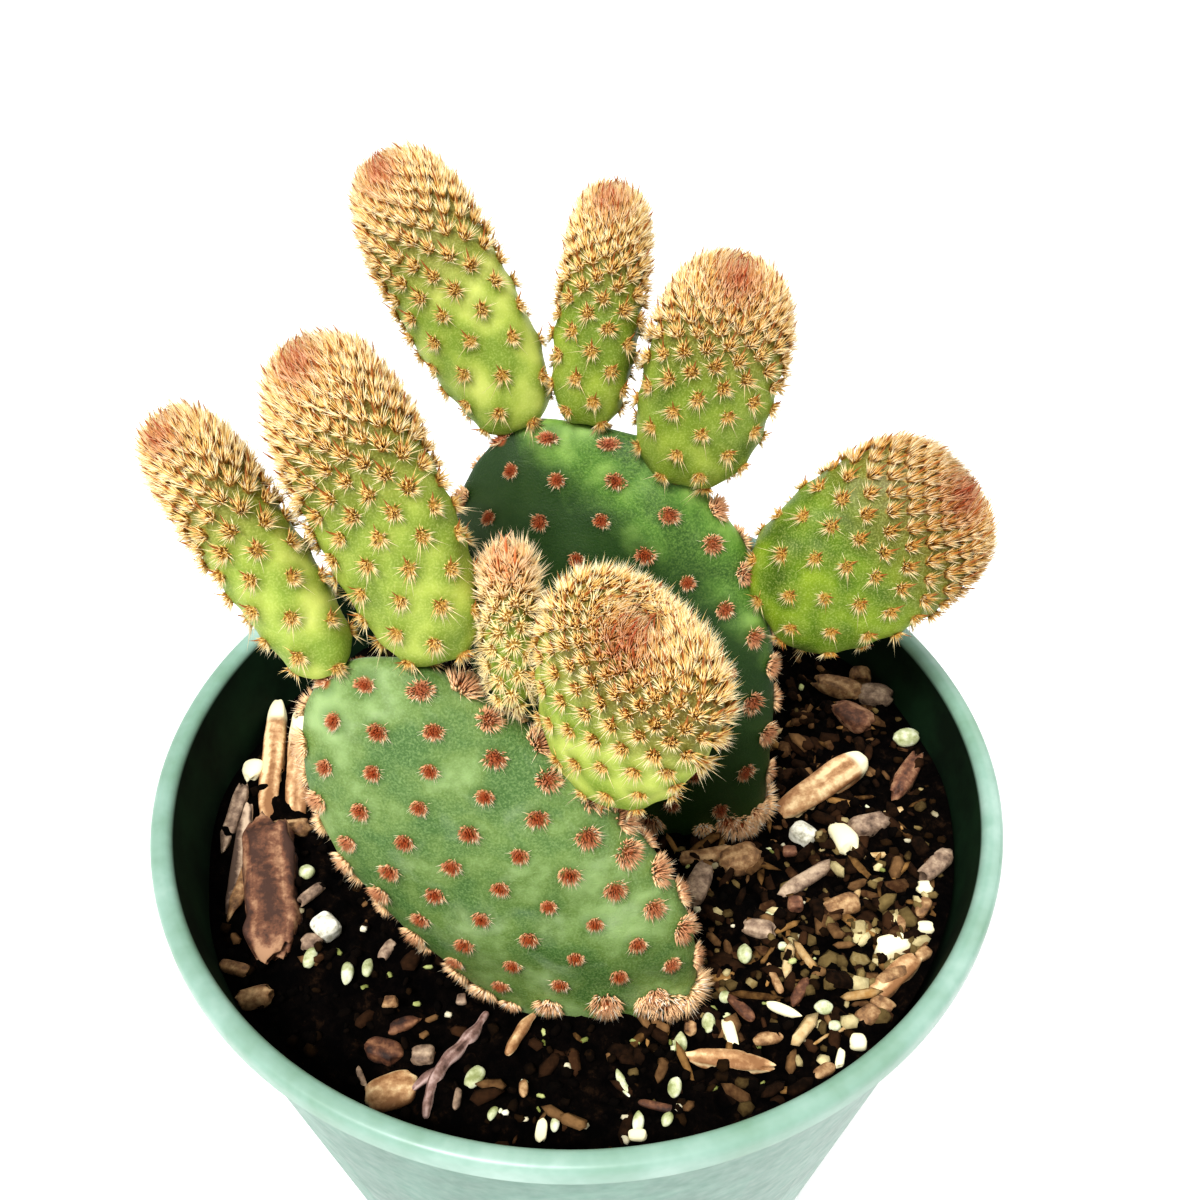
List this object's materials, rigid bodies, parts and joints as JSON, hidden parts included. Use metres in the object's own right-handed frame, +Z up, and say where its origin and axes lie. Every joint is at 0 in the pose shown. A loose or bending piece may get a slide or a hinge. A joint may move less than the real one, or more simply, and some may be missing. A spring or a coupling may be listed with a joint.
{
  "type": "potted cactus",
  "caption": "Potted bunny ears cactus: flat oval pads with rust-brown bristle tufts, crowned by small fresh-green pads, in a round tapered nursery pot with a rolled lip.",
  "frame": {"origin": "centre of the pot's underside, on the surface it stands on", "axes": "+Z up, -Y towards the viewer (the front old pad stands nearest to -Y), +X to the viewer's right"},
  "size_m": [0.102, 0.102, 0.1555],
  "materials": {
    "pot_plastic": "satin",
    "potting_mix": "matte",
    "bark": "matte",
    "split_wood": "matte",
    "twig_bark": "matte",
    "perlite": "matte",
    "old_pad_skin": "matte",
    "old_pad_shaded_skin": "matte",
    "young_pad_skin": "satin",
    "furry_pad_skin": "matte"
  },
  "bodies": {
    "root": {"pot": "pot_plastic", "soil": "potting_mix", "bark_chunk_left": "bark", "twig_front": "twig_bark", "perlite_grain_right": "perlite", "perlite_grain_left": "perlite", "old_pad_front": "old_pad_skin", "old_pad_back": "old_pad_shaded_skin", "young_pad_small_furry": "furry_pad_skin", "young_pad_left_finger": "young_pad_skin", "young_pad_left_long": "young_pad_skin", "young_pad_front_round": "young_pad_skin", "young_pad_back_long": "young_pad_skin", "young_pad_back_finger": "young_pad_skin", "young_pad_back_oval": "young_pad_skin", "young_pad_right_round": "young_pad_skin", "wood_sliver_left_tall": "split_wood", "wood_sliver_left_long": "split_wood", "wood_stick_right": "split_wood", "wood_sliver_right": "split_wood", "wood_sliver_front": "split_wood", "bark_chip_front": "split_wood"}
  },
  "joints": []
}
